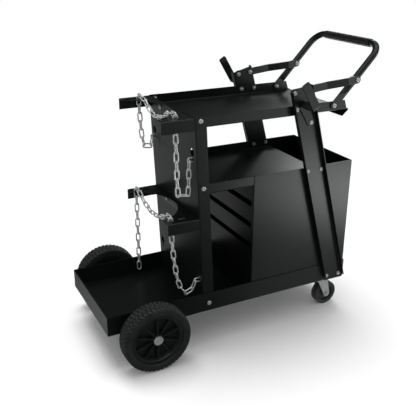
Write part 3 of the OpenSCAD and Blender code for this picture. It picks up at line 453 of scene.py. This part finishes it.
# %% Screws
HEAD_STEPS = 24
SHANK_SIDES = 16
SOCKET_SHARE = 0.34
SOCKET_FLOOR = 0.45
SOCKET_POINT = 0.35
RIM_SHARE = 0.9
END_SLACK = 0.01 * MM


def screw_head():
    """A button head of radius 1 and height 1, underside at the origin, with a hexagon socket."""
    mesh = bpy.data.meshes.new("screw_head")
    work = bmesh.new()
    outer = [(0.0, 0.0, 0), (0.97, 0.0, 0), (1.0, 0.06, 0), (1.0, 0.36, 0), (0.96, 0.55, 0),
             (0.86, 0.76, 0), (0.70, 0.93, 0), (0.55, 1.0, 0)]
    inner = [(SOCKET_SHARE * 1.12, 1.0, 1), (SOCKET_SHARE, 0.93, 1), (SOCKET_SHARE, SOCKET_FLOOR, 1),
             (0.0, SOCKET_POINT, 1)]
    rings = []
    for radius, height, six in outer + inner:
        if radius == 0:
            rings.append([work.verts.new((0, 0, height))])
            continue
        ring = []
        for step in range(HEAD_STEPS):
            angle = math.tau * step / HEAD_STEPS
            off_flat = (angle + math.pi / 6) % (math.pi / 3) - math.pi / 6
            reach = radius / math.cos(off_flat) if six else radius
            ring.append(work.verts.new((reach * math.cos(angle), reach * math.sin(angle), height)))
        rings.append(ring)
    for low, high in zip(rings, rings[1:]):
        for step in range(HEAD_STEPS):
            follow = (step + 1) % HEAD_STEPS
            corners = [low[step % len(low)], low[follow % len(low)], high[follow % len(high)],
                       high[step % len(high)]]
            work.faces.new(list(dict.fromkeys(corners)))
    bmesh.ops.recalc_face_normals(work, faces=work.faces)
    work.to_mesh(mesh)
    work.free()
    return bpy.data.objects.new("screw_head", mesh)


def read_screw(points, axis):
    """Where a screw's head sits, which way it faces, and its head, shank and length in metres."""
    along = points @ axis
    middle = (points.max(0) + points.min(0)) / 2
    middle = middle - axis * (middle @ axis)
    out = np.linalg.norm(points - np.outer(along, axis) - middle, axis=1)
    rim = along[out > RIM_SHARE * out.max()]
    if rim.mean() < along.mean():
        return read_screw(points, -axis)
    under = rim.min()
    shank = out[np.abs(along - along.min()) < END_SLACK].max()
    return middle + axis * under, axis, out.max(), along.max() - under, shank, under - along.min()


screw_tree, given, result = new_tree("screws", ("Head Radius", "Head Height", "Shank Radius"))
head = add(screw_tree, "GeometryNodeObjectInfo", Object=screw_head())
head_size = add(screw_tree, "ShaderNodeCombineXYZ", X=given.outputs["Head Radius"],
                Y=given.outputs["Head Radius"], Z=given.outputs["Head Height"])
heads = add(screw_tree, "GeometryNodeInstanceOnPoints", Points=given.outputs["Geometry"],
            Instance=head.outputs["Geometry"], Rotation=turned(screw_tree), Scale=head_size.outputs[0])
rod = add(screw_tree, "GeometryNodeMeshCylinder", Vertices=SHANK_SIDES, Radius=1.0, Depth=1.0)
rod_down = add(screw_tree, "GeometryNodeTransform", Geometry=rod.outputs[0], Translation=(0, 0, -0.5))
length = add(screw_tree, "GeometryNodeInputNamedAttribute", {"data_type": "FLOAT"}, Name="length")
rod_size = add(screw_tree, "ShaderNodeCombineXYZ", X=given.outputs["Shank Radius"],
               Y=given.outputs["Shank Radius"], Z=length.outputs[0])
rods = add(screw_tree, "GeometryNodeInstanceOnPoints", Points=given.outputs["Geometry"],
           Instance=rod_down.outputs[0], Rotation=turned(screw_tree), Scale=rod_size.outputs[0])
both = add(screw_tree, "GeometryNodeJoinGeometry")
screw_tree.links.new(heads.outputs[0], both.inputs[0])
screw_tree.links.new(rods.outputs[0], both.inputs[0])
end_tree(screw_tree, both.outputs[0], result, bright_zinc)

SCREW_AXES = {"post_bolts": (0, 1, 0), "channel_bolts": (0, 1, 0), "handle_bolts": (0, 1, 0),
              "hook_bolts": (0, 1, 0), "bracket_bolts": None, "caster_bolts": (0, 0, 1)}
PANEL_LEAN = math.radians(2.8)
for node, axis in SCREW_AXES.items():
    axis = np.array(axis or (-math.cos(PANEL_LEAN), 0, -math.sin(PANEL_LEAN)), float)
    screws = [read_screw(points, axis) for points in solids_of(node)]
    side = np.array([1.0, 0, 0]) if abs(axis[0]) < 0.5 else np.array([0, 1.0, 0])
    holder = point_cloud(node + "_screws", [row[0] for row in screws], along=[row[1] for row in screws],
                         across=[side] * len(screws), length=[row[5] for row in screws])
    piece = grown(holder, screw_tree, {"Head Radius": screws[0][2], "Head Height": screws[0][3],
                                       "Shank Radius": screws[0][4]})
    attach(piece, "frame")
    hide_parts(node)
    print(node, len(screws), "screws, head", screws[0][2] / MM, screws[0][3] / MM)

# %% [markdown]
# The large tyres are moulded rubber with a block tread: two rows of slanted blocks on each side of the
# middle, and lugs that run over the shoulder. A bump would leave the tyre's outline smooth, so the tread
# is real: the section is a list of places in millimetres from the bead over the sidewall to the crown,
# a grid of points follows it round the axle, and a point sinks towards the core where a groove runs.
# A row of blocks is given by where it starts and ends, its shift along the tread and its slant.

# %% Tyres
TYRE_TURNS = 600
TREAD_STEP = 0.9
SHOULDER = [(-3.6, 0.15), (-2.7, 0.55), (-1.7, 1.5), (-0.9, 2.9), (-0.35, 4.6)]
SIDEWALL = [(0.2, 3.0), (0.7, 1.1), (1.7, 0.5), (2.8, 0.5), (3.4, 0.8), (4.0, 0.8), (4.6, 0.5),
            (7.5, 0.3), (10.6, 0.3), (11.3, 0.0), (12.1, 0.0), (12.8, 0.3), (14.5, 0.3)]
TREAD_EDGE = 6.6
CROWN_DROP = 0.7
GROOVE_DEPTH = 3.4
LUG_END = 25.5
BLOCK_ROWS = ((0.0, 6.2, 0.0, 0.75), (6.2, 12.6, 0.5, -0.75), (12.6, LUG_END, 0.0, 0.35))
BLOCK_COUNT = 48
BLOCK_GROOVE = 0.27
RING_GROOVES = (6.2, 12.6)
RING_GROOVE_WIDTH = 1.3
RING_GROOVE_WAVE = 0.7
BLOCK_EDGE = 0.06
RING_EDGE = 0.4
LUG_EDGE = 2
TYRE_CORE = 12
CORE_LEAN = 0.35


def tyre_section(rim, outer, width):
    """Half of a section from the bead to the crown: radius and depth from the outer face, in mm."""
    half = [(rim + rise, depth) for rise, depth in SIDEWALL]
    half += [(outer + drop, depth) for drop, depth in SHOULDER]
    steps = int((width / 2 - TREAD_EDGE) / TREAD_STEP)
    for i in range(steps + 1):
        depth = TREAD_EDGE + (width / 2 - TREAD_EDGE) * i / steps
        half.append((outer - CROWN_DROP * (1 - 2 * depth / width) ** 2, depth))
    return half


def sunk(across, around, pitch):
    """How deep the tread lies, from 0 on a block to 1 in a groove, for arrays of places in mm."""
    from_middle = np.abs(across)
    deep = np.zeros(np.broadcast(across, around).shape)
    for start, end, offset, slant in BLOCK_ROWS:
        turn = around / pitch + offset + (from_middle - start) * slant / pitch
        phase = (turn + 0.5 * (across > 0)) % 1
        edge = np.clip((BLOCK_GROOVE / 2 - np.abs(phase - 0.5)) / BLOCK_EDGE + 0.5, 0, 1)
        inside = (from_middle >= start) & (from_middle < end)
        deep = np.where(inside, edge, deep)
    for place in RING_GROOVES:
        wave = RING_GROOVE_WAVE * np.sin(math.tau * around / pitch)
        inside = RING_GROOVE_WIDTH / 2 - np.abs(from_middle - place + wave)
        deep = np.maximum(deep, np.clip(inside / RING_EDGE + 0.5, 0, 1))
    return deep * np.clip((LUG_END - from_middle) / LUG_EDGE, 0, 1)


def tyre(node, hub_node, body):
    """Shows a tyre's plain solid by a treaded one of the same size."""
    low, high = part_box(node)
    hub_low, hub_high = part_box(hub_node)
    middle = (low + high) / 2
    outer, width = (high.z - low.z) / 2 / MM, (high.y - low.y) / MM
    rim = (hub_high.x - hub_low.x) / 2 / MM
    half = np.array(tyre_section(rim, outer, width))
    section = np.vstack([half, (half * (1, -1) + (0, width))[-2::-1]])
    steps = np.linalg.norm(np.diff(section, axis=0), axis=1)
    across = np.concatenate([[0], np.cumsum(steps)])
    across -= across[-1] / 2
    turns = np.arange(TYRE_TURNS) * math.tau / TYRE_TURNS
    pitch = math.tau * outer / BLOCK_COUNT
    deep = sunk(across[None, :], (turns * outer)[:, None], pitch) * GROOVE_DEPTH
    core = np.array([outer - TYRE_CORE, width / 2])
    inward = core - section
    inward[:, 1] *= CORE_LEAN
    inward /= np.linalg.norm(inward, axis=1)[:, None]
    places = section[None] + deep[..., None] * inward[None]
    radius, depth = places[..., 0] * MM, (places[..., 1] - width / 2) * MM
    points = np.stack([middle.x + radius * np.cos(turns)[:, None], middle.y + depth,
                       middle.z + radius * np.sin(turns)[:, None]], axis=-1)
    count = len(section)
    faces = []
    for i in range(TYRE_TURNS):
        row, follow = i * count, (i + 1) % TYRE_TURNS * count
        faces += [(row + k, row + k + 1, follow + k + 1, follow + k) for k in range(count - 1)]
        faces.append((row + count - 1, row, follow, follow + count - 1))
    mesh = bpy.data.meshes.new(node + "_tread")
    mesh.from_pydata(points.reshape(-1, 3).tolist(), [], faces)
    mesh.materials.append(tyre_rubber)
    piece = bpy.data.objects.new(node + "_tread", mesh)
    scene.collection.objects.link(piece)
    work = bmesh.new()
    work.from_mesh(mesh)
    bmesh.ops.recalc_face_normals(work, faces=work.faces)
    work.to_mesh(mesh)
    work.free()
    mesh.shade_smooth()
    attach(piece, body)
    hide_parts(node)
    print(piece.name, len(mesh.polygons))


tyre("wheel_tyre_near", "wheel_hub_near", "wheel_near")
tyre("wheel_tyre_far", "wheel_hub_far", "wheel_far")

# %% [markdown]
# A moulded hub is mostly air: thin ribs stand in a deep dish, and the dish is dark between them. The two
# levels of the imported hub's outer face are found by their depth, and the dish is sunk and the ribs raised,
# so that the same ribs throw deeper shadows.

# %% Hubs
DISH_SHARE = 0.36
RIB_SHARE = 0.18
DISH_SINK = 2.5 * MM
RIB_RISE = 1.5 * MM
LEVEL_SLACK = 0.05 * MM
HUB_EDGE_MM = 0.6


def hub(node, tyre_node):
    """Shows a hub with a deeper dish and higher ribs on its outer face."""
    low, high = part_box(tyre_node)
    out = 1 if high.y + low.y > 0 else -1
    face = high.y if out > 0 else low.y
    width = high.y - low.y

    def reshape(mesh):
        for vert in mesh.vertices:
            depth = (face - vert.co.y) * out
            if abs(depth - DISH_SHARE * width) < LEVEL_SLACK:
                vert.co.y -= out * DISH_SINK
            elif abs(depth - RIB_SHARE * width) < LEVEL_SLACK:
                vert.co.y += out * RIB_RISE

    piece = rounded(node, HUB_EDGE_MM, reshape=reshape)
    print(piece.name, len(piece.data.polygons))


hub("wheel_hub_near", "wheel_tyre_near")
hub("wheel_hub_far", "wheel_tyre_far")

# %% [markdown]
# The sleeve on the cross bar is soft rubber with rings moulded round it. A bump would be lost where the
# sleeve is seen from the side, so each ring is a thin hoop. A line of points along the bar spaces them,
# and the tree needs only a ring's radius and its thickness.

# %% Grip rings
grip_low, grip_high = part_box("handle_grip")
grip_middle = (grip_low + grip_high) / 2
grip_radius = (grip_high.z - grip_low.z) / 2
RING_SPACING = 3.2 * MM
RING_THICKNESS = 0.8 * MM
RING_END = 4 * MM
RING_STEPS, RING_SIDES = 48, 8
ring_count = int((grip_high.y - grip_low.y - 2 * RING_END) / RING_SPACING) + 1
ring_places = [(grip_middle.x, grip_middle.y + (i - (ring_count - 1) / 2) * RING_SPACING, grip_middle.z)
               for i in range(ring_count)]
ring_tree, given, result = new_tree("grip_rings", ("Ring Radius", "Thickness"))
ring_path = add(ring_tree, "GeometryNodeCurvePrimitiveCircle", Resolution=RING_STEPS,
                Radius=given.outputs["Ring Radius"])
ring_section = add(ring_tree, "GeometryNodeCurvePrimitiveCircle", Resolution=RING_SIDES,
                   Radius=given.outputs["Thickness"])
ring = add(ring_tree, "GeometryNodeCurveToMesh", Curve=ring_path.outputs[0],
           Profile_Curve=ring_section.outputs[0])
rings = add(ring_tree, "GeometryNodeInstanceOnPoints", Points=given.outputs["Geometry"],
            Instance=ring.outputs[0], Rotation=turned(ring_tree))
end_tree(ring_tree, rings.outputs[0], result, grip_rubber)
holder = point_cloud("grip_rings", ring_places, along=[(0, 1, 0)] * ring_count,
                     across=[(1, 0, 0)] * ring_count)
piece = grown(holder, ring_tree, {"Ring Radius": grip_radius - RING_THICKNESS / 4,
                                  "Thickness": RING_THICKNESS / 2})
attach(piece, "frame")
print("grip rings", ring_count)

# %% [markdown]
# The stage is a product studio: a white floor that melts into a white background and keeps only the
# soft shadow near the cart. What the black coat mirrors decides how it reads, and in a white room all
# its level sheets would turn grey. So mirrored rays see a floor of their own. It is nearly black to the
# left and dim to the right, with a bright patch off the right end of both long sides, a faint one at the
# left end and a paler ring far off. A patch is its centre, the distances where it is full and where it
# is gone, and its strength.

# %% Helpers for the stage
def rays(tree, *kinds):
    """One for a ray of any of these kinds, else zero."""
    path = tree.nodes.new("ShaderNodeLightPath")
    total = path.outputs[kinds[0]]
    for kind in kinds[1:]:
        total = reckon(tree, "MAXIMUM", total, path.outputs[kind])
    return total


def vector_number(tree, operation, place, other):
    """A number from a place or direction and a fixed vector."""
    node = tree.nodes.new("ShaderNodeVectorMath")
    node.operation = operation
    node.inputs[1].default_value = other
    tree.links.new(place, node.inputs[0])
    return node.outputs["Value"]


def along_line(tree, place, direction, reach, levels):
    """A level that changes as a place or direction moves along a line."""
    dot = vector_number(tree, "DOT_PRODUCT", place, Vector(direction).normalized())
    return to_level(tree, dot, *reach, *levels)


def mix_shaders(tree, share, first, second):
    """The first shader at share 0 and the second at share 1."""
    mix = tree.nodes.new("ShaderNodeMixShader")
    for socket, value in zip(mix.inputs, (share, first, second)):
        tree.links.new(value, socket)
    return mix.outputs[0]


# %% Floor
FLOOR_HALF = 40
FLOOR_PAINT = (0.9, 0.9, 0.9, 1)
FLOOR_ROUGH = 0.9
SHADOW_NEAR, SHADOW_FAR = 0.9, 1.7
MIRROR_WAY = (1, 0.6, 0)
MIRROR_REACH = (-0.2, 0.05)
MIRROR_LEVELS = (0.06, 0.33)
PATCHES = (((1.0, -0.95, 0), (0.1, 0.62), 5.4), ((-0.75, 0.1, 0), (0.2, 0.6), 0.35),
           ((1.0, 1.25, 0), (0.2, 1.0), 3.4), ((0, 0, 0), (4.5, 2.8), 0.6))
floor_mesh = bpy.data.meshes.new("floor")
corners = [(x * FLOOR_HALF, y * FLOOR_HALF, 0) for x, y in ((-1, -1), (1, -1), (1, 1), (-1, 1))]
floor_mesh.from_pydata(corners, [], [(0, 1, 2, 3)])
floor = bpy.data.objects.new("floor", floor_mesh)
scene.collection.objects.link(floor)
floor_paint = bpy.data.materials.new("floor_paint")
floor_paint.use_nodes = True
tree = floor_paint.node_tree
paint = tree.nodes["Principled BSDF"]
paint.inputs["Base Color"].default_value = FLOOR_PAINT
paint.inputs["Roughness"].default_value = FLOOR_ROUGH
paint.inputs["Specular IOR Level"].default_value = 0
place = tree.nodes.new("ShaderNodeNewGeometry").outputs["Position"]
fade = to_level(tree, vector_number(tree, "DISTANCE", place, (0, 0, 0)), SHADOW_NEAR, SHADOW_FAR, 0, 1,
                soft=False)
white = tree.nodes.new("ShaderNodeEmission")
level = along_line(tree, place, MIRROR_WAY, MIRROR_REACH, MIRROR_LEVELS)
for centre, reach, peak in PATCHES:
    patch = to_level(tree, vector_number(tree, "DISTANCE", place, centre), *reach, peak, 0)
    level = reckon(tree, "ADD", level, patch)
mirrored = tree.nodes.new("ShaderNodeEmission")
tree.links.new(level, mirrored.inputs["Strength"])
seen = mix_shaders(tree, fade, paint.outputs[0], white.outputs[0])
seen = mix_shaders(tree, rays(tree, "Is Glossy Ray"), seen, mirrored.outputs[0])
tree.links.new(seen, tree.nodes["Material Output"].inputs["Surface"])
floor_mesh.materials.append(floor_paint)
print("floor", 2 * FLOOR_HALF, "m, patches", len(PATCHES))

# %% [markdown]
# The world is three backgrounds, chosen by the kind of ray: white for the camera, a little weaker where
# it lights the cart, and for mirrored rays a room with dark walls that is bright overhead.

# %% World
WORLD_SHOWN = 1
WORLD_LIGHT = 0.7
ROOM_WAY = (0, -0.2, 1)
ROOM_REACH = (0.5, 0.95)
ROOM_LEVELS = (0.03, 1.2)
world = bpy.data.worlds.new("studio")
scene.world = world
world.use_nodes = True
tree = world.node_tree
tree.nodes.clear()
shown, lit, mirrored = (tree.nodes.new("ShaderNodeBackground") for _ in range(3))
shown.inputs["Strength"].default_value = WORLD_SHOWN
lit.inputs["Strength"].default_value = WORLD_LIGHT
for background in (shown, lit, mirrored):
    background.inputs["Color"].default_value = (1, 1, 1, 1)
direction = tree.nodes.new("ShaderNodeTexCoord").outputs["Generated"]
room = along_line(tree, direction, ROOM_WAY, ROOM_REACH, ROOM_LEVELS)
tree.links.new(room, mirrored.inputs["Strength"])
direct = rays(tree, "Is Camera Ray", "Is Transmission Ray")
sky = mix_shaders(tree, direct, lit.outputs[0], shown.outputs[0])
sky = mix_shaders(tree, rays(tree, "Is Glossy Ray"), sky, mirrored.outputs[0])
tree.links.new(sky, tree.nodes.new("ShaderNodeOutputWorld").inputs["Surface"])
print("world", WORLD_SHOWN, WORLD_LIGHT, "room", ROOM_LEVELS)

# %% [markdown]
# The overhead sun gives the soft shadow and isn't mirrored. The two windows are mirrored and light
# nothing else, because they are there for the streaks of shine on the coat, the chains and the screws.

# %% Lamps
WINDOWS = {
    "right_window": {"place": (2.0, -0.5, 0.40), "target": (0, -0.5, 0.40), "size": (4.0, 1.0),
                     "power": 14},
    "far_window": {"place": (2.05, 2.15, 1.95), "target": (0.15, 0, 0.6), "size": (0.6, 1.0),
                   "power": 9},
}
OVERHEAD_POWER = 1.9
OVERHEAD_SPREAD = 35
OVERHEAD_WAY = (0, -0.25, -1)


def window(name, place, target, size, power):
    """A soft lamp of a width and a height that looks at a target and shows only in mirrored rays."""
    lamp = bpy.data.lights.new(name, "AREA")
    lamp.shape = "RECTANGLE"
    lamp.size, lamp.size_y = size
    lamp.energy = power
    holder = bpy.data.objects.new(name, lamp)
    scene.collection.objects.link(holder)
    holder.location = place
    holder.rotation_euler = (Vector(target) - Vector(place)).to_track_quat("-Z", "Y").to_euler()
    holder.visible_camera = False
    holder.visible_diffuse = False


for name, values in WINDOWS.items():
    window(name, **values)
overhead = bpy.data.lights.new("overhead", "SUN")
overhead.energy = OVERHEAD_POWER
overhead.angle = math.radians(OVERHEAD_SPREAD)
overhead_holder = bpy.data.objects.new("overhead", overhead)
scene.collection.objects.link(overhead_holder)
overhead_holder.rotation_euler = Vector(OVERHEAD_WAY).to_track_quat("-Z", "Y").to_euler()
overhead_holder.visible_glossy = False
scene.view_settings.view_transform = "Standard"
